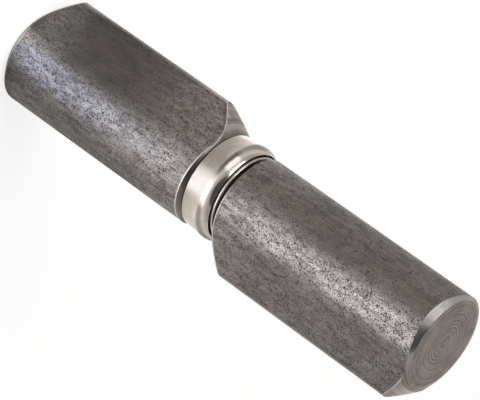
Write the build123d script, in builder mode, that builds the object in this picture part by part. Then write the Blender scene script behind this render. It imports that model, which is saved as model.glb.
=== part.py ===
from build123d import *
import os
from math import acos, cos, degrees, pi, radians, sin, tan

# Weld-on barrel hinge, lift-off type, with a ball thrust bearing between its two knuckles.
# Millimetres. The origin is the centre of the lower knuckle's turned end face, +Z runs up the
# pin, and the lower knuckle's welding nose points along +X.

# ---- Driving sizes ----------------------------------------------------------------------

# Drop-section bar that both knuckles are cut from
barrel_radius = 11.0
nose_reach = 15.6  # from the barrel's axis to the tip of the welding nose
nose_tip_radius = 2.0
lower_length = 54.7
upper_length = 54.23
upper_nose_angle = 172.0  # how far the upper nose stands round from the lower one, at rest
bar_offset_x = -0.38  # the bars sat off centre in the lathe: the barrels' axis from the pin's
bar_offset_y = 0.36

# Turned ends: a flat face about the pin axis, inside a cone that also cuts the end of the nose.
# A cone starts at the edge of the flat, and its angle is from the end face.
lower_outer_flat_radius = 10.15
lower_outer_cone_angle = 40.5
lower_inner_flat_radius = 10.87
lower_inner_cone_angle = 57.5
upper_flat_radius = 11.6  # wider than the barrel, so the upper cones cut the nose alone
upper_inner_cone_angle = 40.1
upper_outer_cone_angle = 43.5

# Bevel ground by hand round the upper knuckle's outer end: an oblique cone, steep on one side
bevel_flat_radius = 10.2
bevel_foot_radius = 17.97  # the slanted cone's circle at its foot
bevel_foot_shift = 6.32  # how far that circle lies over, away from the deep side
bevel_height = 3.2  # from the foot circle up to the end face
bevel_deep_side = 60.0  # direction in which the bevel runs deepest

# Pin, pressed into the lower knuckle and free in the upper one
pin_radius = 6.0
pin_press_depth = 34.0
pin_engagement = 34.0
pin_running_clearance = 0.05
pin_lead_chamfer = 1.2
pin_foot_chamfer = 0.6
bore_end_gap = 2.0  # between each end of the pin and the full-width end of its bore
bore_mouth_chamfer = 0.5
drill_half_angle = 59.0

# Thrust bearing, sized outwards from the pin
ball_diameter = 3.0
ball_spacing = 0.75  # least gap between two balls on the pitch circle
ball_clearance = 0.02  # between a ball and the bottom of each groove
groove_conformity = 0.52  # groove radius over ball diameter
groove_depth = 0.55
cage_pin_gap = 0.25
cage_web = 0.3  # what the cage keeps inside and outside its pockets
race_rim = 0.53  # how far the still race reaches out past the cage
cage_thickness = 1.2
pocket_clearance = 0.1
lower_race_height = 3.0
lower_race_clearance = 0.05  # the still race sits close on the pin
upper_race_clearance = 0.3  # the turning race runs clear of the pin
upper_disc_height = 1.3  # the part of the upper race that is too wide for the shell's hole
upper_disc_play = 0.4  # radial play of that disc in the shell
race_edge_chamfer = 0.3
neck_gap = 0.34  # between the neck of the upper race and the edge of the shell's hole
neck_rise = 0.68  # how far the neck stands out of the shell
neck_edge_radius = 0.4
hub_step = 2.1  # how much narrower than the neck the hub is, which carries the upper knuckle
hub_height = 1.41

# Drawn shell, pushed onto the still race, that closes in over the disc of the upper race
shell_wall = 0.55
shell_play = 0.02  # radial play of the shell's rim round the still race
shell_foot_gap = 0.35  # between the rim and the lower knuckle
shell_rim_radius = 0.25
shell_belly = 0.4  # how much wider the shell is at the foot of its shoulder than at its rim
shoulder_drop = 1.36  # how far below the top of the disc the shoulder starts
shoulder_radial_axis = 2.64  # half axes of the ellipse that the shoulder follows
shoulder_upright_axis = 3.5
shoulder_reach = 1.05  # how far in the shoulder runs before its hole
hole_edge_radius = 0.05

# ---- Sizes that follow ------------------------------------------------------------------

tip_centre = nose_reach - nose_tip_radius
envelope_radius = nose_reach + nose_tip_radius

ball_radius = ball_diameter / 2
pocket_radius = ball_radius + pocket_clearance
cage_inner = pin_radius + cage_pin_gap
pitch_radius = cage_inner + cage_web + pocket_radius
cage_outer = pitch_radius + pocket_radius + cage_web
ball_count = int(2 * pi * pitch_radius / (ball_diameter + ball_spacing))
groove_radius = groove_conformity * ball_diameter
race_outer = cage_outer + race_rim
lower_race_bore = pin_radius + lower_race_clearance
upper_race_bore = pin_radius + upper_race_clearance

shell_rim_inner = race_outer + shell_play
shell_rim_outer = shell_rim_inner + shell_wall
shell_belly_outer = shell_rim_outer + shell_belly
shell_belly_inner = shell_belly_outer - shell_wall
upper_disc_radius = shell_belly_inner - upper_disc_play
shell_hole_radius = shell_belly_outer - shoulder_reach
neck_radius = shell_hole_radius - neck_gap
hub_radius = neck_radius - hub_step

bearing_foot = lower_length
lower_race_top = bearing_foot + lower_race_height
ball_level = lower_race_top - groove_depth + ball_clearance + ball_radius
upper_race_foot = ball_level + ball_radius + ball_clearance - groove_depth
upper_disc_top = upper_race_foot + upper_disc_height

shell_foot = bearing_foot + shell_foot_gap
shoulder_foot = upper_disc_top - shoulder_drop
shoulder_centre = shell_belly_outer - shoulder_radial_axis
shoulder_inner_axes = (shoulder_radial_axis - shell_wall, shoulder_upright_axis - shell_wall)
shoulder_run = shell_hole_radius - shoulder_centre
outer_shoulder_sweep = degrees(acos(shoulder_run / shoulder_radial_axis))
inner_shoulder_sweep = degrees(acos(shoulder_run / shoulder_inner_axes[0]))
shell_top = shoulder_foot + shoulder_upright_axis * sin(radians(outer_shoulder_sweep))
neck_top = shell_top + neck_rise

upper_foot = neck_top + hub_height
upper_top = upper_foot + upper_length
pin_foot = lower_length - pin_press_depth
pin_top = upper_foot + pin_engagement


# ---- Shared shapes ----------------------------------------------------------------------


def drop_section(nose_angle):
    """Draw the bar's section in the open sketch: a barrel joined to the nose tip by two flats."""
    Circle(barrel_radius)
    with PolarLocations(tip_centre, 1, start_angle=nose_angle):
        Circle(nose_tip_radius)
    make_hull()


def turned_half_section(start_height, length, foot_flat, foot_angle, top_flat, top_angle):
    """Half of what the lathe leaves: two end faces, and the cones that run out past the nose.

    The cones' lines are two-point Beziers, so the curves that they cut across the flats of
    the nose are splines and not hyperbolas, which measure unsafely far from their middles.
    """
    foot_rise = (envelope_radius - foot_flat) * tan(radians(foot_angle))
    top_drop = (envelope_radius - top_flat) * tan(radians(top_angle))
    turning_plane = Plane(origin=(0, 0, start_height), x_dir=(1, 0, 0), z_dir=(0, -1, 0))
    with BuildSketch(turning_plane) as half_section:
        with BuildLine():
            Bezier((foot_flat, 0), (envelope_radius, foot_rise))
            Line((envelope_radius, foot_rise), (envelope_radius, length - top_drop))
            Bezier((envelope_radius, length - top_drop), (top_flat, length))
            Polyline((top_flat, length), (0, length), (0, 0), (foot_flat, 0))
        make_face()
    return half_section.sketch


def drilled_half_section(radius, depth):
    """Draw half of a blind bore: chamfered mouth at y = 0, straight wall, drill point."""
    point_depth = radius / tan(radians(drill_half_angle))
    Polygon(
        (0, 0),
        (radius + bore_mouth_chamfer, 0),
        (radius, bore_mouth_chamfer),
        (radius, depth),
        (0, depth + point_depth),
        align=None,
    )


section_up = Plane.XZ
lower_bar_end = Plane(origin=(bar_offset_x, bar_offset_y, 0))
upper_bar_end = Plane(origin=(bar_offset_x, bar_offset_y, upper_foot))
bevel_flat_plane = Plane(origin=(bar_offset_x, bar_offset_y, upper_top))
bevel_foot_plane = Plane(
    origin=(
        bar_offset_x - bevel_foot_shift * cos(radians(bevel_deep_side)),
        bar_offset_y - bevel_foot_shift * sin(radians(bevel_deep_side)),
        upper_top - bevel_height,
    )
)
bore_down = Plane(origin=(0, 0, lower_length), x_dir=(1, 0, 0), z_dir=(0, 1, 0))
bore_up = Plane(origin=(0, 0, upper_foot), x_dir=(1, 0, 0), z_dir=(0, -1, 0))


# ---- Knuckles and pin -------------------------------------------------------------------

with BuildPart() as lower_knuckle:
    with BuildSketch(lower_bar_end):
        drop_section(0)
    extrude(amount=lower_length)
    lower_turning = turned_half_section(
        0,
        lower_length,
        lower_outer_flat_radius,
        lower_outer_cone_angle,
        lower_inner_flat_radius,
        lower_inner_cone_angle,
    )
    revolve(lower_turning, axis=Axis.Z, mode=Mode.INTERSECT)
    with BuildSketch(bore_down):
        drilled_half_section(pin_radius, pin_press_depth + bore_end_gap)
    revolve(axis=Axis.Z, mode=Mode.SUBTRACT)

with BuildPart() as bevel_waste:
    with BuildSketch(bevel_foot_plane):
        Circle(bevel_foot_radius + envelope_radius)
    extrude(amount=bevel_height)
    with BuildSketch(bevel_foot_plane):
        Circle(bevel_foot_radius)
    with BuildSketch(bevel_flat_plane):
        Circle(bevel_flat_radius)
    loft(ruled=True, mode=Mode.SUBTRACT)

with BuildPart() as upper_knuckle:
    with BuildSketch(upper_bar_end):
        drop_section(upper_nose_angle)
    extrude(amount=upper_length)
    upper_turning = turned_half_section(
        upper_foot,
        upper_length,
        upper_flat_radius,
        upper_inner_cone_angle,
        upper_flat_radius,
        upper_outer_cone_angle,
    )
    revolve(upper_turning, axis=Axis.Z, mode=Mode.INTERSECT)
    add(bevel_waste.part, mode=Mode.SUBTRACT)
    with BuildSketch(bore_up):
        drilled_half_section(pin_radius + pin_running_clearance, pin_engagement + bore_end_gap)
    revolve(axis=Axis.Z, mode=Mode.SUBTRACT)

with BuildPart() as hinge_pin:
    with BuildSketch(Plane.XY.offset(pin_foot)):
        Circle(pin_radius)
    extrude(amount=pin_top - pin_foot)
    pin_ends = hinge_pin.edges().filter_by(GeomType.CIRCLE).sort_by(Axis.Z)
    chamfer(pin_ends[0], length=pin_foot_chamfer)
    chamfer(pin_ends[-1], length=pin_lead_chamfer)


# ---- Thrust bearing ---------------------------------------------------------------------


with BuildPart() as lower_race:
    with BuildSketch(Plane.XY.offset(bearing_foot)):
        Circle(race_outer)
        Circle(lower_race_bore, mode=Mode.SUBTRACT)
    extrude(amount=lower_race_height)
    race_rims = lower_race.edges().filter_by(GeomType.CIRCLE)
    chamfer(race_rims.sort_by(SortBy.RADIUS)[-2:], length=race_edge_chamfer)
    with BuildSketch(section_up):
        with Locations((pitch_radius, lower_race_top - groove_depth + groove_radius)):
            Circle(groove_radius)
    revolve(axis=Axis.Z, mode=Mode.SUBTRACT)

with BuildPart() as upper_race:
    with BuildSketch(section_up):
        with BuildLine():
            Polyline(
                (upper_race_bore, upper_race_foot),
                (upper_disc_radius - race_edge_chamfer, upper_race_foot),
                (upper_disc_radius, upper_race_foot + race_edge_chamfer),
                (upper_disc_radius, upper_disc_top - race_edge_chamfer),
                (upper_disc_radius - race_edge_chamfer, upper_disc_top),
                (neck_radius, upper_disc_top),
                (neck_radius, neck_top),
                (hub_radius, neck_top),
                (hub_radius, upper_foot),
                (upper_race_bore, upper_foot),
                close=True,
            )
        make_face()
    revolve(axis=Axis.Z)
    neck_rims = upper_race.edges().filter_by(GeomType.CIRCLE).group_by(Axis.Z)[-2]
    fillet(neck_rims.sort_by(SortBy.RADIUS)[-1], radius=neck_edge_radius)
    with BuildSketch(section_up):
        with Locations((pitch_radius, upper_race_foot + groove_depth - groove_radius)):
            Circle(groove_radius)
    revolve(axis=Axis.Z, mode=Mode.SUBTRACT)

with BuildPart() as bearing_shell:
    with BuildSketch(section_up):
        with BuildLine():
            Line((shell_rim_inner, shell_foot), (shell_rim_outer, shell_foot))
            Line((shell_rim_outer, shell_foot), (shell_belly_outer, shoulder_foot))
            outer_shoulder = EllipticalCenterArc(
                (shoulder_centre, shoulder_foot),
                shoulder_radial_axis,
                shoulder_upright_axis,
                arc_size=outer_shoulder_sweep,
            )
            inner_shoulder = EllipticalCenterArc(
                (shoulder_centre, shoulder_foot),
                *shoulder_inner_axes,
                arc_size=inner_shoulder_sweep,
            )
            Line(outer_shoulder @ 1, inner_shoulder @ 1)
            Line((shell_belly_inner, shoulder_foot), (shell_rim_inner, shell_foot))
        make_face()
    revolve(axis=Axis.Z)
    hole_rim = bearing_shell.edges().filter_by(GeomType.CIRCLE).sort_by(Axis.Z)[-1]
    fillet(hole_rim, radius=hole_edge_radius)
    open_rim = bearing_shell.edges().group_by(Axis.Z)[0].sort_by(SortBy.RADIUS)[-1]
    fillet(open_rim, radius=shell_rim_radius)

with BuildPart() as ball_cage:
    with BuildSketch(Plane.XY.offset(ball_level - cage_thickness / 2)):
        Circle(cage_outer)
        Circle(cage_inner, mode=Mode.SUBTRACT)
        with PolarLocations(pitch_radius, ball_count):
            Circle(pocket_radius, mode=Mode.SUBTRACT)
    extrude(amount=cage_thickness)


# ---- Files ------------------------------------------------------------------------------

os.makedirs("parts", exist_ok=True)

lower_knuckle.part.label = "lower_knuckle"
export_step(lower_knuckle.part, "parts/lower_knuckle.step")
upper_knuckle.part.label = "upper_knuckle"
export_step(upper_knuckle.part, "parts/upper_knuckle.step")
hinge_pin.part.label = "hinge_pin"
export_step(hinge_pin.part, "parts/hinge_pin.step")
lower_race.part.label = "lower_race"
export_step(lower_race.part, "parts/lower_race.step")
upper_race.part.label = "upper_race"
export_step(upper_race.part, "parts/upper_race.step")
bearing_shell.part.label = "bearing_shell"
export_step(bearing_shell.part, "parts/bearing_shell.step")
ball_cage.part.label = "ball_cage"
export_step(ball_cage.part, "parts/ball_cage.step")

for number in range(ball_count):
    ball_angle = radians(360 * number / ball_count)
    with BuildPart() as bearing_ball:
        with Locations((pitch_radius * cos(ball_angle), pitch_radius * sin(ball_angle), ball_level)):
            Sphere(ball_radius)
    ball_name = f"bearing_ball_{number + 1:02d}"
    bearing_ball.part.label = ball_name
    export_step(bearing_ball.part, f"parts/{ball_name}.step")
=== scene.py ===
# %% [markdown]
# # The looks of a weld-on barrel hinge
# The hinge comes from CAD with all its solids in place: two drop-section knuckles, a pin, and a
# ball thrust bearing between them. Nothing here changes a shape or a size. This file gives each
# solid the finish that it leaves the factory with, paints shade at the bearing and a highlight on
# the knuckles' outer bevels, and then sets up a small studio to look at it.
#
# Every finish is procedural: noise, cells and formulas in object coordinates. Image textures would
# need unwrapping and would blur close up, and the finishes of a hinge follow how each face was
# made, which a formula says exactly.

from math import cos, pi, radians, sin, tan

import bmesh
import bpy
from mathutils import Matrix, Vector


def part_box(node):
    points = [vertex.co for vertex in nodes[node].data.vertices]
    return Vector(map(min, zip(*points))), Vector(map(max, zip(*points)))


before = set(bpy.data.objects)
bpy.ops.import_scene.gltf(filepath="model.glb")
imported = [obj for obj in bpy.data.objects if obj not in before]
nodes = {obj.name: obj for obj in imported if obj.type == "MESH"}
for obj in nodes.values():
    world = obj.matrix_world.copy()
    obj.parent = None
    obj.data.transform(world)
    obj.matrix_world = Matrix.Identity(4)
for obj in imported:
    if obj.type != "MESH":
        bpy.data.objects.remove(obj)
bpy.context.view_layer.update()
MM = 1000

# %% [markdown]
# ## The camera
# A long lens from over 60 cm away keeps both barrels nearly parallel, as in a catalogue. The hinge
# stands upright on its foot in its own frame, but a hinge is mostly shown lying at a slant, so the
# camera is rolled instead of the part. A Track To constraint would aim the camera too, but would
# keep it level.
#
# So the camera's matrix is filled directly from three directions: right, up, and back. A rough up
# direction is enough, because two cross products make it square to the line of sight.

# %% Point a long lens at the bearing
camera_place = Vector((0.095748, 0.547637, 0.364096))
camera_aim = Vector((-0.000776, -0.000523, 0.061471))
rough_up = Vector((0.85018, 0.13172, -0.50975))
lens_mm = 227.18
nearest_seen, farthest_seen = 0.01, 50

camera_back = (camera_place - camera_aim).normalized()
camera_right = rough_up.cross(camera_back).normalized()
camera_up = camera_back.cross(camera_right)
camera_turn = Matrix((camera_right, camera_up, camera_back)).transposed()

camera = bpy.data.objects.new("camera", bpy.data.cameras.new("camera"))
camera.data.lens = lens_mm
camera.data.clip_start = nearest_seen
camera.data.clip_end = farthest_seen
camera.matrix_world = Matrix.Translation(camera_place) @ camera_turn.to_4x4()
bpy.context.scene.collection.objects.link(camera)
bpy.context.scene.camera = camera
print("camera", round((camera_place - camera_aim).length, 3), "m away, lens", lens_mm, "mm")

# %% [markdown]
# ## Wiring nodes by hand
# A material is a small network. Writing `tree.nodes.new` and `tree.links.new` for every step hides
# the idea in plumbing, so a few helpers do it. `fill` links a socket or stores a plain value. `add`
# makes a node, sets its options and fills its sockets. `maths` does one sum and returns its result.
# `between` turns a value into a soft mask that goes from 0 to 1 between two limits, and `blend`
# mixes two colours by a mask.

# %% Helpers for node networks
def fill(tree, plug, content):
    """Link a socket to the plug, or store a plain value in it."""
    if isinstance(content, bpy.types.NodeSocket):
        tree.links.new(content, plug)
    else:
        plug.default_value = content


def add(tree, kind, options=None, **sockets):
    """Add a node. Words in a socket's name are joined by underscores, and 's0' is the first one."""
    made = tree.nodes.new(kind)
    for option, setting in (options or {}).items():
        setattr(made, option, setting)
    for name, content in sockets.items():
        key = int(name[1:]) if name[1:].isdigit() else name.replace("_", " ")
        fill(tree, made.inputs[key], content)
    return made


def maths(tree, operation, *values):
    """One sum on one, two or three values."""
    sockets = {f"s{place}": value for place, value in enumerate(values)}
    return add(tree, "ShaderNodeMath", {"operation": operation}, **sockets).outputs[0]


def between(tree, value, low, high, start=0.0, end=1.0):
    """A soft step: start below low, end above high, and an S-curve from one to the other."""
    options = {"interpolation_type": "SMOOTHSTEP", "clamp": True}
    return add(tree, "ShaderNodeMapRange", options, s0=value, s1=low, s2=high, s3=start, s4=end).outputs[0]


def blend(tree, mask, first, second):
    """A colour that is first where the mask is 0 and second where it is 1."""
    mixer = add(tree, "ShaderNodeMix", {"data_type": "RGBA"}, s0=mask)
    for plug, colour in ((mixer.inputs[6], first), (mixer.inputs[7], second)):
        fill(tree, plug, (*colour, 1.0) if isinstance(colour, tuple) else colour)
    return mixer.outputs[2]


print("helpers: fill, add, maths, between, blend")

# %% [markdown]
# ## A group is a tool of your own
# The same effect is needed on more than one solid, so it is built once as a node group with named
# inputs and outputs. In Blender 4.5 the sockets of a group are made on its interface. The group
# only hands out colours, masks and heights; the shader itself stays in each material.

# %% Helper: start a node group
def start_group(name, inputs, outputs):
    """Make a group with the given sockets, and return it with its input and output sockets."""
    group = bpy.data.node_groups.new(name, "ShaderNodeTree")
    for in_out, sockets in (("INPUT", inputs), ("OUTPUT", outputs)):
        for socket_name, (kind, default) in sockets.items():
            socket = group.interface.new_socket(socket_name, in_out=in_out, socket_type=kind)
            if default is not None:
                socket.default_value = default
    entry = group.nodes.new("NodeGroupInput")
    result = group.nodes.new("NodeGroupOutput")
    return group, entry.outputs, result.inputs


NUMBER, VECTOR, COLOUR = "NodeSocketFloat", "NodeSocketVector", "NodeSocketColor"
print("helper: start_group")

# %% [markdown]
# ## Drawn bar, straight from the mill
# Both knuckles are cut from bar that was pulled cold through a drop-shaped die. The die leaves
# fine lines along the bar, and lubricant and scale leave a dark skin with clouds, streaks and
# blotches. All of these are noise stretched along Z, the way the bar was pulled. Stretching is the
# work of a Mapping node: a smaller scale along Z makes longer features.
#
# Places are in millimetres, so a scale of 0.1 means features about 10 mm long. Wave textures would
# make lines too, but evenly spaced ones, and a drawn bar has none that repeat.

# %% Group: drawn skin, its clouds, streaks and lines
def stretched_noise(tree, place, across, along, detail, roughness=0.5):
    """Noise with so many features per millimetre across the bar and along it."""
    stretch = add(tree, "ShaderNodeMapping", Vector=place, Scale=(across, across, along)).outputs[0]
    noise = add(tree, "ShaderNodeTexNoise", Vector=stretch, Scale=1.0, Detail=detail, Roughness=roughness)
    return noise.outputs[0]


drawn_skin, given, out = start_group(
    "drawn skin",
    {
        "Place": (VECTOR, None),
        "Bare colour": (COLOUR, (0.36, 0.35, 0.34, 1)),
        "Scale colour": (COLOUR, (0.1, 0.09, 0.08, 1)),
    },
    {
        "Color": (COLOUR, None),
        "Metal": (NUMBER, None),
        "Roughness": (NUMBER, None),
        "Height": (NUMBER, None),
    },
)
clouds = stretched_noise(drawn_skin, given["Place"], 0.22, 0.10, detail=4.0)
streaks = stretched_noise(drawn_skin, given["Place"], 1.2, 0.16, detail=5.0, roughness=0.6)
blotches = stretched_noise(drawn_skin, given["Place"], 0.80, 0.40, detail=5.0, roughness=0.65)
grain = stretched_noise(drawn_skin, given["Place"], 5.6, 5.4, detail=1.0, roughness=0.6)
die_lines = stretched_noise(drawn_skin, given["Place"], 6.0, 0.05, detail=2.0)

dull = between(drawn_skin, clouds, 0.36, 0.64)
streaky = between(drawn_skin, streaks, 0.40, 0.62)
blotchy = between(drawn_skin, blotches, 0.38, 0.62)
print("group:", drawn_skin.name, "with five noises")

# %% [markdown]
# ## Pits in the skin
# The skin is pitted where grains of scale were pressed in. Noise alone gives patches that run into
# each other like worms, and real pits are separate. So each pit is a dot in a Voronoi cell, and
# the cell's random colour decides how large it is, from nothing up. Small dots and a few ragged
# large ones are laid over a faint, fine speckle of noise. Where the skin is blotchy the small ones
# crowd together.

# %% Group: drawn skin, its pits
def scattered_dots(tree, place, per_mm, spread, least, rim, ragged=0.0):
    """A dot in each cell. Its size is least plus a part of spread, and rim is its soft edge."""
    cells = add(tree, "ShaderNodeTexVoronoi", Vector=place, Scale=per_mm, Randomness=1.0).outputs
    chance = add(tree, "ShaderNodeSeparateColor", Color=cells["Color"]).outputs[0]
    size = maths(tree, "MULTIPLY_ADD", chance, spread, least)
    from_middle = maths(tree, "ADD", cells["Distance"], ragged)
    return between(tree, maths(tree, "SUBTRACT", from_middle, size), *rim, 1.0, 0.0)


crowding = maths(drawn_skin, "MULTIPLY_ADD", blotchy, 0.10, -0.06)
small_dots = scattered_dots(drawn_skin, given["Place"], 3.5, 0.42, crowding, rim=(0.0, 0.16))
crowded_grain = maths(drawn_skin, "MULTIPLY_ADD", blotchy, -0.06, grain)
speckle = between(drawn_skin, crowded_grain, 0.34, 0.46, 0.80, 0.0)
fine_pits = maths(drawn_skin, "MAXIMUM", small_dots, speckle)

uneven = maths(drawn_skin, "MULTIPLY", grain, 0.30)
large_pits = scattered_dots(drawn_skin, given["Place"], 1.3, 0.38, -0.02, rim=(0.06, 0.14), ragged=uneven)
pits = maths(drawn_skin, "MAXIMUM", large_pits, fine_pits)
print("group:", drawn_skin.name, "has its pits")

# %% [markdown]
# ## One mask, four effects
# Under a lamp the smooth metal between the pits shines and the pits stay black. So the mask of the
# pits drives four things at once: the colour is darker, the face is rougher and deeper, and it is
# hardly metallic, because scale isn't metal. Clouds, streaks and blotches stain the colour, and
# the blotches are a little rougher too.

# %% Group: drawn skin, what it hands out
stained = maths(drawn_skin, "MULTIPLY_ADD", dull, 0.16, maths(drawn_skin, "MULTIPLY", streaky, 0.22))
dark = maths(drawn_skin, "MULTIPLY_ADD", blotchy, 0.18, stained)
skin_colour = blend(drawn_skin, dark, given["Bare colour"], given["Scale colour"])
skin_colour = blend(drawn_skin, pits, skin_colour, given["Scale colour"])
fill(drawn_skin, out["Color"], skin_colour)
fill(drawn_skin, out["Metal"], maths(drawn_skin, "MULTIPLY_ADD", pits, -0.85, 1.0))

dulled = maths(drawn_skin, "MULTIPLY_ADD", blotchy, 0.05, 0.28)
fill(drawn_skin, out["Roughness"], maths(drawn_skin, "MULTIPLY_ADD", pits, 0.22, dulled))

pit_depth = maths(drawn_skin, "MULTIPLY", pits, -0.8)
line_height = maths(drawn_skin, "MULTIPLY", die_lines, 0.25)
fill(drawn_skin, out["Height"], maths(drawn_skin, "ADD", pit_depth, line_height))
print("group:", drawn_skin.name, "hands out", ", ".join(socket.name for socket in out if socket.name))

# %% [markdown]
# ## Faces cut on a lathe
# Both ends of each knuckle were turned: a flat face and a cone round it. The tool moves inwards
# while the bar spins, so it leaves rings about the lathe's axis, which is the pin's axis. The bar
# sat half a millimetre off centre in the chuck, so the rings aren't centred on the barrel.
#
# Radius plus height makes one coordinate for every turned face: on a flat the height stays and the
# rings follow the radius, and in a bore the radius stays and the rings follow the height. On a
# cone both change. At a foot they add up to finer rings, and at a top they work against each
# other, so a top cone has broader ones.

# %% Group: tool rings
tool_rings, given, out = start_group(
    "tool rings",
    {"Place": (VECTOR, None), "Rings per mm": (NUMBER, 1.6)},
    {"Radius": (NUMBER, None), "Height": (NUMBER, None), "Tone": (NUMBER, None)},
)
x_y_z = add(tool_rings, "ShaderNodeSeparateXYZ", Vector=given["Place"]).outputs
square_x = maths(tool_rings, "MULTIPLY", x_y_z[0], x_y_z[0])
radius = maths(tool_rings, "SQRT", maths(tool_rings, "MULTIPLY_ADD", x_y_z[1], x_y_z[1], square_x))
travel = maths(tool_rings, "ADD", radius, x_y_z[2])
ring_number = maths(tool_rings, "MULTIPLY", travel, given["Rings per mm"])
ring_place = add(tool_rings, "ShaderNodeCombineXYZ", X=ring_number).outputs[0]
grooves = add(
    tool_rings, "ShaderNodeTexNoise", Vector=ring_place, Scale=1.4, Detail=4.0, Roughness=0.75
).outputs[0]
smears = add(tool_rings, "ShaderNodeTexNoise", Vector=given["Place"], Scale=0.3, Detail=3.0).outputs[0]
groove_share = maths(tool_rings, "MULTIPLY", grooves, 0.80)
groove_tone = maths(tool_rings, "MULTIPLY_ADD", smears, 0.20, groove_share)
fill(tool_rings, out["Radius"], radius)
fill(tool_rings, out["Height"], grooves)
fill(tool_rings, out["Tone"], between(tool_rings, groove_tone, 0.40, 0.58))
print("group:", tool_rings.name)

# %% [markdown]
# ## The bright burr where the cone starts
# Where the lathe's cone runs out on the drawn skin it leaves a thin bright edge. Its place follows
# from the cone: at a given radius the cone is at a known height, so the distance from the cone is
# a subtraction. The same group serves all four ends, with other numbers. A mask painted on the
# edge would do once, and this one fits again when the cone changes.

# %% Group: end burr
end_burr, given, out = start_group(
    "end burr",
    {
        "Radius": (NUMBER, 0.0),
        "Height on bar": (NUMBER, 0.0),
        "End height": (NUMBER, 0.0),
        "Towards end": (NUMBER, 1.0),
        "Flat radius": (NUMBER, 10.0),
        "Slope": (NUMBER, 0.8),
        "Width": (NUMBER, 0.45),
    },
    {"Burr": (NUMBER, None)},
)
past_flat = maths(end_burr, "SUBTRACT", given["Radius"], given["Flat radius"])
cone_drop = maths(end_burr, "MULTIPLY", past_flat, given["Slope"])
to_end = maths(end_burr, "SUBTRACT", given["End height"], given["Height on bar"])
inwards = maths(end_burr, "MULTIPLY", to_end, given["Towards end"])
from_cone = maths(end_burr, "ABSOLUTE", maths(end_burr, "SUBTRACT", inwards, cone_drop))
share = maths(end_burr, "DIVIDE", from_cone, given["Width"])
fill(end_burr, out["Burr"], between(end_burr, share, 0.3, 1.0, 1.0, 0.0))
print("group:", end_burr.name)

# %% [markdown]
# ## Starting a material
# Each material has its own Principled shader, and a Bump node lets light catch on the height that
# a group hands out. Real grooves of a few hundredths of a millimetre would need millions of faces.
# Object coordinates are in metres, and a Mapping node makes millimetres of them.

# %% Helpers: start a material, use a group, add a bump
def start_material(name):
    """A new metal with its Principled shader, and the place on the object in millimetres."""
    material = bpy.data.materials.new(name)
    material.use_nodes = True
    tree = material.node_tree
    tree.nodes.clear()
    shader = add(tree, "ShaderNodeBsdfPrincipled", Metallic=1.0)
    add(tree, "ShaderNodeOutputMaterial", Surface=shader.outputs[0])
    metres = add(tree, "ShaderNodeTexCoord").outputs["Object"]
    place = add(tree, "ShaderNodeMapping", Vector=metres, Scale=(MM, MM, MM)).outputs[0]
    return material, tree, shader.inputs, place


def use_group(tree, group, **sockets):
    """Place a group in a network and return its outputs."""
    return add(tree, "ShaderNodeGroup", {"node_tree": group}, **sockets).outputs


def add_relief(tree, surface, height, strength, depth_mm):
    """Let light catch on a height that goes from 0 to 1 over a depth."""
    bump = add(tree, "ShaderNodeBump", Strength=strength, Distance=depth_mm / MM, Height=height)
    fill(tree, surface["Normal"], bump.outputs[0])


print("helpers: start_material, use_group, add_relief")

# %% [markdown]
# ## Knuckle steel: which tool made a face, and painted light
# One network shows all the ways in which a knuckle's faces were made. The object's own normal tells
# the drawn skin from the turned faces: on the skin it has no Z in it, and on a flat or a cone it
# has. In the bore, the radius tells. At the hinge's outer ends, a slanted face inside the barrel's
# edge gets a lighter colour, a painted highlight. The two cones at the bearing get a dark colour,
# painted shade for the gap beside the shell's rim.

# %% Helper: which tool made a face
ring_low, ring_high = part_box("bearing_shell")
bearing_level = MM * (ring_low.z + ring_high.z) / 2
painted_gap_shade_share = 0.45


def tool_masks(tree, place, radius):
    """Three masks: where the steel is turned, where the outer bevel gets a painted highlight, and where
    painted shade darkens the gap at the bearing.
    """
    normal = add(tree, "ShaderNodeTexCoord").outputs["Normal"]
    endwise = maths(tree, "ABSOLUTE", add(tree, "ShaderNodeSeparateXYZ", Vector=normal).outputs[2])
    faced = between(tree, endwise, 0.15, 0.30)
    bored = between(tree, radius, 7.2, 7.6, 1.0, 0.0)
    turned = maths(tree, "MAXIMUM", faced, bored)

    height = add(tree, "ShaderNodeSeparateXYZ", Vector=place).outputs[2]
    from_bearing = maths(tree, "ABSOLUTE", maths(tree, "SUBTRACT", height, bearing_level))
    outer_end = between(tree, from_bearing, 20.0, 30.0)
    slanted = between(tree, endwise, 0.80, 0.90, 1.0, 0.0)
    inside_edge = between(tree, radius, 11.5, 11.7, 1.0, 0.0)
    # Painted highlight: the slanted bevel at the outer ends, inside the barrel's edge, gets a lighter
    # colour.
    ground = maths(tree, "MULTIPLY", slanted, maths(tree, "MULTIPLY", outer_end, inside_edge))

    # Painted shade: the cones beside the shell's rim, where shade falls in the gap, get a dark colour.
    bearing_end = between(tree, from_bearing, 6.0, 6.8, 1.0, 0.0)
    painted_gap_shade = maths(tree, "MULTIPLY", bearing_end, between(tree, radius, 11.1, 11.7, painted_gap_shade_share, 0.0))
    return turned, ground, painted_gap_shade


print("helper: tool_masks, bearing at", round(bearing_level, 2), "mm")

# %% [markdown]
# ## Knuckle steel: what is rubbed bright
# Hands, benches and other hinges rub the high edges bare. On a knuckle these are the burrs at both
# ends and the ridge of the nose. The nose is found by how far a place reaches out from the middle
# of the bar in the nose's direction, which a dot product measures.

# %% Helper: what is rubbed bright
bar_middle = Vector((-0.38, 0.36, 0))
ridge_start, ridge_full = 15.0, 15.5
ridge_share = 0.6


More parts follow.
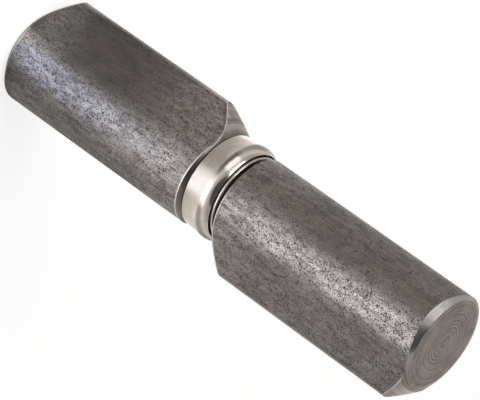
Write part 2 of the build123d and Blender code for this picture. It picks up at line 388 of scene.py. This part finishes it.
def rubbed_mask(tree, place, radius, foot, top, nose_angle):
    """Bright edges of a knuckle. foot and top are (height in mm, cone)."""
    height = add(tree, "ShaderNodeSeparateXYZ", Vector=place).outputs[2]
    burrs = []
    for (end_height, cone), towards_end in ((foot, -1.0), (top, 1.0)):
        ends = {"End_height": end_height, "Towards_end": towards_end, **cone}
        burrs.append(use_group(tree, end_burr, Radius=radius, Height_on_bar=height, **ends)["Burr"])

    towards_nose = Vector((cos(radians(nose_angle)), sin(radians(nose_angle)), 0))
    product = add(tree, "ShaderNodeVectorMath", {"operation": "DOT_PRODUCT"}, s0=place, s1=towards_nose)
    reach = maths(tree, "SUBTRACT", product.outputs["Value"], bar_middle @ towards_nose)
    ridge = between(tree, reach, ridge_start, ridge_full, 0.0, ridge_share)
    return maths(tree, "MAXIMUM", maths(tree, "MAXIMUM", *burrs), ridge)


print("helper: rubbed_mask")

# %% [markdown]
# ## Knuckle steel: the whole material
# Now the masks choose between the finishes: skin or turned face, and on these the bright edges,
# the painted highlight on the outer bevel and the painted shade at the bearing. Mixing colours and
# values before one shader is lighter than mixing several shaders, and it is what other programs can read.

# %% Helper: knuckle steel
bare_steel, dark_scale = (0.485, 0.447, 0.436, 1), (0.050, 0.042, 0.038, 1)
rubbed_steel = (0.78, 0.75, 0.72)
groove_dull, groove_bright = (0.24, 0.206, 0.19), (0.52, 0.465, 0.435)
painted_bevel_highlight = (0.62, 0.60, 0.58)
painted_gap_shade_colour = (0.05, 0.043, 0.037)


def knuckle_steel(name, foot, top, nose_angle):
    """Drawn skin, turned ends and a bored hole. foot and top are (height in mm, cone)."""
    material, tree, surface, place = start_material(name)
    skin = use_group(tree, drawn_skin, Place=place, Bare_colour=bare_steel, Scale_colour=dark_scale)
    rings = use_group(tree, tool_rings, Place=place)
    turned, ground, painted_gap_shade = tool_masks(tree, place, rings["Radius"])
    rubbed = rubbed_mask(tree, place, rings["Radius"], foot, top, nose_angle)

    skin_colour = blend(tree, rubbed, skin["Color"], rubbed_steel)
    end_colour = blend(tree, rings["Tone"], groove_dull, groove_bright)
    # Painted highlight: the outer bevel gets a lighter colour.
    end_colour = blend(tree, ground, end_colour, painted_bevel_highlight)
    # Painted shade: the cones beside the shell's rim get a dark colour.
    end_colour = blend(tree, painted_gap_shade, end_colour, painted_gap_shade_colour)
    fill(tree, surface["Base Color"], blend(tree, turned, skin_colour, end_colour))

    clean = maths(tree, "MAXIMUM", rubbed, turned)
    fill(tree, surface["Metallic"], maths(tree, "MAXIMUM", skin["Metal"], clean))

    skin_roughness = maths(tree, "MULTIPLY_ADD", rubbed, -0.12, skin["Roughness"])
    end_roughness = maths(tree, "MULTIPLY_ADD", rings["Tone"], -0.08, 0.36)
    end_roughness = maths(tree, "MULTIPLY_ADD", ground, -0.10, end_roughness)
    roughness = add(tree, "ShaderNodeMix", s0=turned, s2=skin_roughness, s3=end_roughness).outputs[0]
    fill(tree, surface["Roughness"], roughness)

    height = add(tree, "ShaderNodeMix", s0=turned, s2=skin["Height"], s3=rings["Height"]).outputs[0]
    add_relief(tree, surface, height, strength=0.6, depth_mm=0.03)
    return material


print("helper: knuckle_steel")

# %% [markdown]
# ## Two knuckles, two materials
# The knuckles are of one steel, but their ends are at different heights, their cones have
# different slopes, and their noses point in different directions. One material for both would have
# to know which knuckle it is on, so two from the same function are simpler. The heights are
# measured on the solids.

# %% Materials: both knuckles
lower_foot_cone = {"Flat_radius": 10.15, "Slope": tan(radians(40.5))}
lower_top_cone = {"Flat_radius": 10.87, "Slope": tan(radians(57.5))}
upper_foot_cone = {"Flat_radius": 11.6, "Slope": tan(radians(40.1))}
upper_top_cone = {"Flat_radius": 11.6, "Slope": tan(radians(43.5))}
lower_low, lower_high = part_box("lower_knuckle")
upper_low, upper_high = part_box("upper_knuckle")

lower_steel = knuckle_steel(
    "drawn steel, lower knuckle",
    foot=(MM * lower_low.z, lower_foot_cone),
    top=(MM * lower_high.z, lower_top_cone),
    nose_angle=0,
)
upper_steel = knuckle_steel(
    "drawn steel, upper knuckle",
    foot=(MM * upper_low.z, upper_foot_cone),
    top=(MM * upper_high.z, upper_top_cone),
    nose_angle=172,
)
print("materials:", lower_steel.name, "and", upper_steel.name)

# %% [markdown]
# ## Bright nickel on a drawn cup
# The bearing's shell is pressed from thin sheet, polished and plated. Plating is nearly a mirror,
# so what makes it look real is small: faint rings from polishing, smudges that dull it a little,
# and a slow waviness that bends the reflections. Without them the shell would look too perfect.

# %% Material: nickel
clean_nickel, smudged_nickel = (0.71, 0.655, 0.605), (0.65, 0.595, 0.545)
nickel, tree, surface, place = start_material("bright nickel")
rings = use_group(tree, tool_rings, Place=place, Rings_per_mm=3.0)
haze = add(tree, "ShaderNodeTexNoise", Vector=place, Scale=0.35, Detail=3.0).outputs[0]
smudged = between(tree, haze, 0.4, 0.7)
fill(tree, surface["Base Color"], blend(tree, smudged, clean_nickel, smudged_nickel))

roughness = maths(tree, "MULTIPLY_ADD", smudged, 0.05, 0.13)
fill(tree, surface["Roughness"], maths(tree, "MULTIPLY_ADD", rings["Tone"], 0.03, roughness))

polish_lines = maths(tree, "MULTIPLY", rings["Height"], 0.12)
waviness = maths(tree, "MULTIPLY_ADD", haze, 2.0, polish_lines)
add_relief(tree, surface, waviness, strength=0.35, depth_mm=0.04)
print("material:", nickel.name)

# %% [markdown]
# ## Ground steel for the races, the pin and the balls
# Races and pin are hard steel finished on a grinding wheel, and the balls are lapped after that.
# One function makes all three: the finer the wheel, the smoother the surface and the shallower
# the rings that it leaves. Near the pin the races get a dark colour, painted shade for the gap
# under the knuckle's overhang.

# %% Materials: ground steel
painted_hub_shade_colour = (0.10, 0.085, 0.07)


def ground_steel(name, bright, dull_colour, smooth, ring_strength, rings_per_mm, painted_shade_radius=0.0):
    """Steel with grinding rings about the pin's axis, and painted shade up to a radius in mm, for the gap
    under the knuckle.
    """
    material, tree, surface, place = start_material(name)
    rings = use_group(tree, tool_rings, Place=place, Rings_per_mm=rings_per_mm)
    ground = blend(tree, rings["Tone"], dull_colour, bright)
    # Painted shade: near the pin the colour goes dark, for the gap under the knuckle.
    painted_gap_shade = between(tree, rings["Radius"], painted_shade_radius, painted_shade_radius + 0.5, 1.0, 0.0)
    fill(tree, surface["Base Color"], blend(tree, painted_gap_shade, ground, painted_hub_shade_colour))
    fill(tree, surface["Roughness"], maths(tree, "MULTIPLY_ADD", rings["Tone"], -0.06, smooth))
    add_relief(tree, surface, rings["Height"], ring_strength, depth_mm=0.02)
    return material


race_steel = ground_steel(
    "ground race steel", (0.70, 0.66, 0.59), (0.58, 0.54, 0.47),
    smooth=0.27, ring_strength=0.4, rings_per_mm=5.0, painted_shade_radius=8.2,
)
pin_steel = ground_steel(
    "ground pin steel", (0.60, 0.60, 0.60), (0.50, 0.50, 0.51),
    smooth=0.26, ring_strength=0.35, rings_per_mm=4.0,
)
ball_steel = ground_steel(
    "lapped ball steel", (0.78, 0.78, 0.79), (0.73, 0.73, 0.74),
    smooth=0.10, ring_strength=0.05, rings_per_mm=6.0,
)
print("materials:", race_steel.name, pin_steel.name, ball_steel.name)

# %% [markdown]
# ## Brass cage
# The cage is punched from brass sheet and tumbled to take the edges off. Tumbling leaves a soft,
# slightly dented surface, and the brass darkens a little in blotches. One noise makes the dents
# and a coarser one the tarnish, so the two don't follow each other.

# %% Material: tumbled brass
fresh_brass, tarnished_brass = (0.74, 0.56, 0.27), (0.50, 0.36, 0.17)
cage_brass, tree, surface, place = start_material("tumbled brass")
dents = add(tree, "ShaderNodeTexNoise", Vector=place, Scale=1.6, Detail=4.0).outputs[0]
tarnish = add(tree, "ShaderNodeTexNoise", Vector=place, Scale=0.3, Detail=3.0).outputs[0]
darkened = between(tree, tarnish, 0.4, 0.7)
fill(tree, surface["Base Color"], blend(tree, darkened, fresh_brass, tarnished_brass))
fill(tree, surface["Roughness"], maths(tree, "MULTIPLY_ADD", dents, 0.2, 0.24))
add_relief(tree, surface, dents, strength=0.4, depth_mm=0.03)
print("material:", cage_brass.name)

# %% [markdown]
# ## Give each solid its finish
# A CAD solid keeps its mesh and only its material slots change. The balls aren't listed, because
# whatever has no finish of its own is a ball.

# %% Fill the material slots
finishes = {
    "lower_knuckle": lower_steel,
    "upper_knuckle": upper_steel,
    "hinge_pin": pin_steel,
    "lower_race": race_steel,
    "upper_race": race_steel,
    "bearing_shell": nickel,
    "ball_cage": cage_brass,
}
for name, solid in nodes.items():
    solid.data.materials.clear()
    solid.data.materials.append(finishes.get(name, ball_steel))
print("finished:", ", ".join(sorted(nodes)))

# %% [markdown]
# ## The table top
# Metal shows what is round it, so the table is half of the look. A plane would do for a table, but
# a large round one has no corner that could show up in the shell.

# %% White table
table_radius = 4.0
table_mesh = bpy.data.meshes.new("table")
rim = bmesh.new()
bmesh.ops.create_circle(rim, cap_ends=True, segments=96, radius=table_radius)
rim.to_mesh(table_mesh)
rim.free()
table = bpy.data.objects.new("table", table_mesh)
bpy.context.scene.collection.objects.link(table)
print("table", 2 * table_radius, "m across")

# %% [markdown]
# ## Three zones and some fans
# A bare barrel is drawn by what it mirrors. Studios lay light panels and dark cards round the
# metal, just out of the picture. Here they are areas of the table that only mirrored light sees.
# To the eye the table stays plain white.
#
# The hinge stands upright, so its parts mirror different zones: the lower barrel the table close
# by, the shell a ring round that, and the upper barrel all that is farther out. Within a zone, the
# direction decides which side of the barrel shows it, so each area is a fan with soft sides.

# %% Zones and fans on the table
near_zone_edge, far_zone_edge = (0.080, 0.095), (0.115, 0.135)
distant_edge = (0.30, 0.70)
FRONT, BACK = 1, -1

paper = bpy.data.materials.new("white paper")
paper.use_nodes = True
sheet = paper.node_tree
sheet.nodes.clear()
spot = add(sheet, "ShaderNodeTexCoord").outputs["Object"]
x_y_z = add(sheet, "ShaderNodeSeparateXYZ", Vector=spot).outputs
right, forward = x_y_z[0], x_y_z[1]
square = maths(sheet, "MULTIPLY_ADD", right, right, maths(sheet, "MULTIPLY", forward, forward))
distance = maths(sheet, "SQRT", square)
near = between(sheet, distance, *near_zone_edge, 1.0, 0.0)
far = between(sheet, distance, *far_zone_edge)
middle = maths(sheet, "SUBTRACT", maths(sheet, "SUBTRACT", 1.0, near), far)
distant = between(sheet, distance, *distant_edge)


def fan(apex, facing, first, last, soft):
    """1 in a fan on the table, seen from its apex: angles in degrees, to the right of facing."""
    off_x = maths(sheet, "MULTIPLY", maths(sheet, "SUBTRACT", right, apex[0]), facing)
    off_y = maths(sheet, "MULTIPLY", maths(sheet, "SUBTRACT", forward, apex[1]), facing)
    angle = maths(sheet, "ARCTAN2", off_x, off_y)
    opens = between(sheet, angle, radians(first - soft), radians(first + soft))
    closes = between(sheet, angle, radians(last - soft), radians(last + soft), 1.0, 0.0)
    return maths(sheet, "MULTIPLY", opens, closes)


print("zones and fans for", paper.name)

# %% [markdown]
# ## Light panels for the metal
# Each row of the list is one area, with the light that it adds in the near, the middle and the far
# zone. A loop adds them up. The area behind the hinge draws the bright edges of both barrels, and
# the wide and the narrow one in front draw the highlight along their middle. Those two start from
# the barrel's front and not from the pin, so that the highlight keeps its width down to the foot.
# The middle zone is bright all round, for the shell, and a little less so on its dim side. Under
# the foot and close round it nothing glows.

# %% Light panels, for mirrored rays
pin, barrel_front, back_start = (0, 0), (0.006, 0.008), (0.014, 0.034)
foot_edge = (0.0118, 0.0145)
everywhere = 1.0
behind = fan(back_start, BACK, -24, 31, soft=4)
wide = fan(barrel_front, FRONT, -54, 14, soft=10)
narrow = fan(barrel_front, FRONT, -44, -1, soft=8)
shell_front = fan(pin, FRONT, -58, 33, soft=10)
left = fan(pin, FRONT, -125, -50, soft=12)
left_slope = fan(pin, FRONT, -88, -50, soft=38)
dim_side = fan(pin, FRONT, 38, 76, soft=10)

lit_areas = (
    (everywhere, 0.03, 0.63, 0.06),
    (behind, 0.36, 0.36, 0.36),
    (distant, 0.38, 0.38, 0.38),
    (wide, 0.85, 0.0, 0.85),
    (narrow, 0.43, 0.0, 0.92),
    (shell_front, 0.0, 0.27, 0.0),
    (left, 0.18, 0.0, 0.12),
    (left_slope, 0.0, 0.50, 0.0),
    (dim_side, 0.0, -0.09, 0.0),
)
panel_glow = 0.0
for area, near_glow, middle_glow, far_glow in lit_areas:
    by_zone = maths(sheet, "MULTIPLY", near, near_glow)
    by_zone = maths(sheet, "MULTIPLY_ADD", middle, middle_glow, by_zone)
    by_zone = maths(sheet, "MULTIPLY_ADD", far, far_glow, by_zone)
    panel_glow = maths(sheet, "MULTIPLY_ADD", area, by_zone, panel_glow)
panel_glow = maths(sheet, "MULTIPLY", panel_glow, between(sheet, distance, *foot_edge))
print(len(lit_areas), "lit areas")

# %% [markdown]
# ## Warm and cool panels
# The panels aren't all of one white. Most are a little warm, as from a lamp. The one in front is
# cool close to the hinge, as from a window, and nearly neutral farther out. Each row tints one area
# over the rows before it. What the eye sees, and the panel behind, stay neutral.

# %% Tints of the panels
path = add(sheet, "ShaderNodeLightPath").outputs
seen = path["Is Camera Ray"]
mirrored = maths(sheet, "MAXIMUM", path["Is Glossy Ray"], path["Is Transmission Ray"])

inner_zone = between(sheet, distance, 0.058, 0.072, 1.0, 0.0)
glow_colour = (1.0, 0.97, 0.93)
tints = (
    (maths(sheet, "MULTIPLY", near, wide), (0.88, 0.93, 0.99)),
    (maths(sheet, "MULTIPLY", wide, inner_zone), (0.79, 0.92, 1.17)),
    (maths(sheet, "MULTIPLY", dim_side, middle), (1.0, 0.93, 0.86)),
    (maths(sheet, "MULTIPLY", wide, far), (1.0, 0.975, 1.01)),
    (maths(sheet, "MAXIMUM", behind, seen), (1.0, 1.0, 1.0)),
)
for area, tint in tints:
    glow_colour = blend(sheet, area, glow_colour, tint)
print(len(tints), "tints")

# %% [markdown]
# ## Grey cards and the paper itself
# Light panels alone would leave no dark side. So grey cards are painted on the paper for mirrored
# rays only, as painted dark reflections: one near the hinge on its right, which the lower barrel
# mirrors, and another one farther out, for the upper barrel.
#
# The paper is half as bright as white, because the lamps and the room light it too. A glow makes up
# the rest for the eye, so that it reads as white and still keeps the hinge's shadow.

# %% White paper
eye_glow = 0.76
painted_card_grey = (0.15, 0.14, 0.13)
card_outside, card_inside = (0.062, 0.082), (0.010, 0.014)
outside = between(sheet, distance, *card_outside, 1.0, 0.0)
near_card = maths(sheet, "MULTIPLY", outside, between(sheet, distance, *card_inside))
far_card = maths(sheet, "MULTIPLY", fan(pin, FRONT, 28, 84, soft=10), far)
painted_cards = maths(sheet, "MULTIPLY_ADD", fan(pin, FRONT, 30, 130, soft=8), near_card, far_card)

fibres = add(sheet, "ShaderNodeTexNoise", Vector=spot, Scale=900.0, Detail=2.0).outputs[0]
white = blend(sheet, fibres, (0.49, 0.49, 0.485), (0.51, 0.51, 0.505))
# Painted reflection: mirrored rays see the cards' grey instead of the white paper.
paper_colour = blend(sheet, maths(sheet, "MULTIPLY", painted_cards, mirrored), white, painted_card_grey)
strength = maths(sheet, "MULTIPLY_ADD", seen, eye_glow, maths(sheet, "MULTIPLY", mirrored, panel_glow))
glow = add(sheet, "ShaderNodeEmission", Color=glow_colour, Strength=strength)
matt = add(sheet, "ShaderNodeBsdfDiffuse", Color=paper_colour)
both = add(sheet, "ShaderNodeAddShader", s0=matt.outputs[0], s1=glow.outputs[0])
add(sheet, "ShaderNodeOutputMaterial", Surface=both.outputs[0])
table.data.materials.append(paper)
print("paper:", paper.name)

# %% [markdown]
# ## The room
# Everything above the table is plain grey, paler towards the horizon, and faces that look up
# mirror it. A dark patch of it, high on the camera's side, is the unlit part of a studio, and
# darkens the faces that look straight at it. The patch stands still in the room and doesn't follow
# the camera. The eye sees a plain pale backdrop instead.

# %% Plain room
horizon_grey, top_grey = (0.74, 0.735, 0.73), (0.40, 0.39, 0.385)
unlit_grey, backdrop_grey = (0.08, 0.08, 0.085), (0.90, 0.90, 0.90)
unlit_middle = Vector((-0.13, 0.656, 0.743)).normalized()
unlit_edge = (cos(radians(35)), cos(radians(28)))

room = bpy.data.worlds.new("room")
bpy.context.scene.world = room
room.use_nodes = True
sky = room.node_tree
sky.nodes.clear()
direction = add(sky, "ShaderNodeTexCoord").outputs["Generated"]
upwards = add(sky, "ShaderNodeSeparateXYZ", Vector=direction).outputs[2]
room_colour = blend(sky, between(sky, upwards, 0.05, 0.45, 1.0, 0.0), top_grey, horizon_grey)
product = add(sky, "ShaderNodeVectorMath", {"operation": "DOT_PRODUCT"}, s0=direction, s1=unlit_middle)
unlit = between(sky, product.outputs["Value"], *unlit_edge)
room_colour = blend(sky, unlit, room_colour, unlit_grey)
seen = add(sky, "ShaderNodeLightPath").outputs["Is Camera Ray"]
room_colour = blend(sky, seen, room_colour, backdrop_grey)
light = add(sky, "ShaderNodeBackground", Color=room_colour, Strength=1.0)
add(sky, "ShaderNodeOutputWorld", Surface=light.outputs[0])
print("room:", room.name)

# %% [markdown]
# ## Two soft lamps
# With the panels on the table, two soft lamps draw the hinge. One overhead lights the faces that
# look up and gives the hinge its shadow, and a weak, low one puts a warm spot on the shell's
# shoulder. They are area lamps, because a sun or a point lamp would leave hard, small highlights.
# They are hidden from the camera but not from reflections.

# %% Helpers and two lamps
hinge_middle = Vector((0, 0, 0.06))


def soft_panel(name, place, facing, size, watts, colour):
    """An area lamp at a place, facing a point, as wide and high as size says."""
    lamp = bpy.data.lights.new(name, "AREA")
    lamp.shape = "RECTANGLE"
    lamp.size, lamp.size_y = size
    lamp.energy = watts
    lamp.color = colour
    holder = bpy.data.objects.new(name, lamp)
    holder.location = place
    holder.rotation_mode = "QUATERNION"
    holder.rotation_quaternion = (Vector(facing) - Vector(place)).to_track_quat("-Z", "Y")
    holder.visible_camera = False
    bpy.context.scene.collection.objects.link(holder)
    brightness = watts / pi / (size[0] * size[1])
    print(name, "brightness", round(brightness, 2))


def around(azimuth, elevation, distance):
    """A place round the hinge: azimuth from +X towards +Y, elevation above its middle."""
    flat = distance * cos(radians(elevation))
    rise = distance * sin(radians(elevation))
    return hinge_middle + Vector((flat * cos(radians(azimuth)), flat * sin(radians(azimuth)), rise))


soft_panel(
    "overhead panel", around(azimuth=26, elevation=48, distance=0.6), hinge_middle,
    size=(0.40, 0.32), watts=1.10, colour=(1.0, 0.98, 0.95),
)
soft_panel(
    "side panel", around(azimuth=34, elevation=8, distance=0.45), hinge_middle,
    size=(0.30, 0.25), watts=0.19, colour=(1.0, 0.96, 0.90),
)

# %% [markdown]
# ## Look settings and the last line
# The Standard view shows colours as they are written.

# %% Finish
bpy.context.scene.view_settings.view_transform = "Standard"
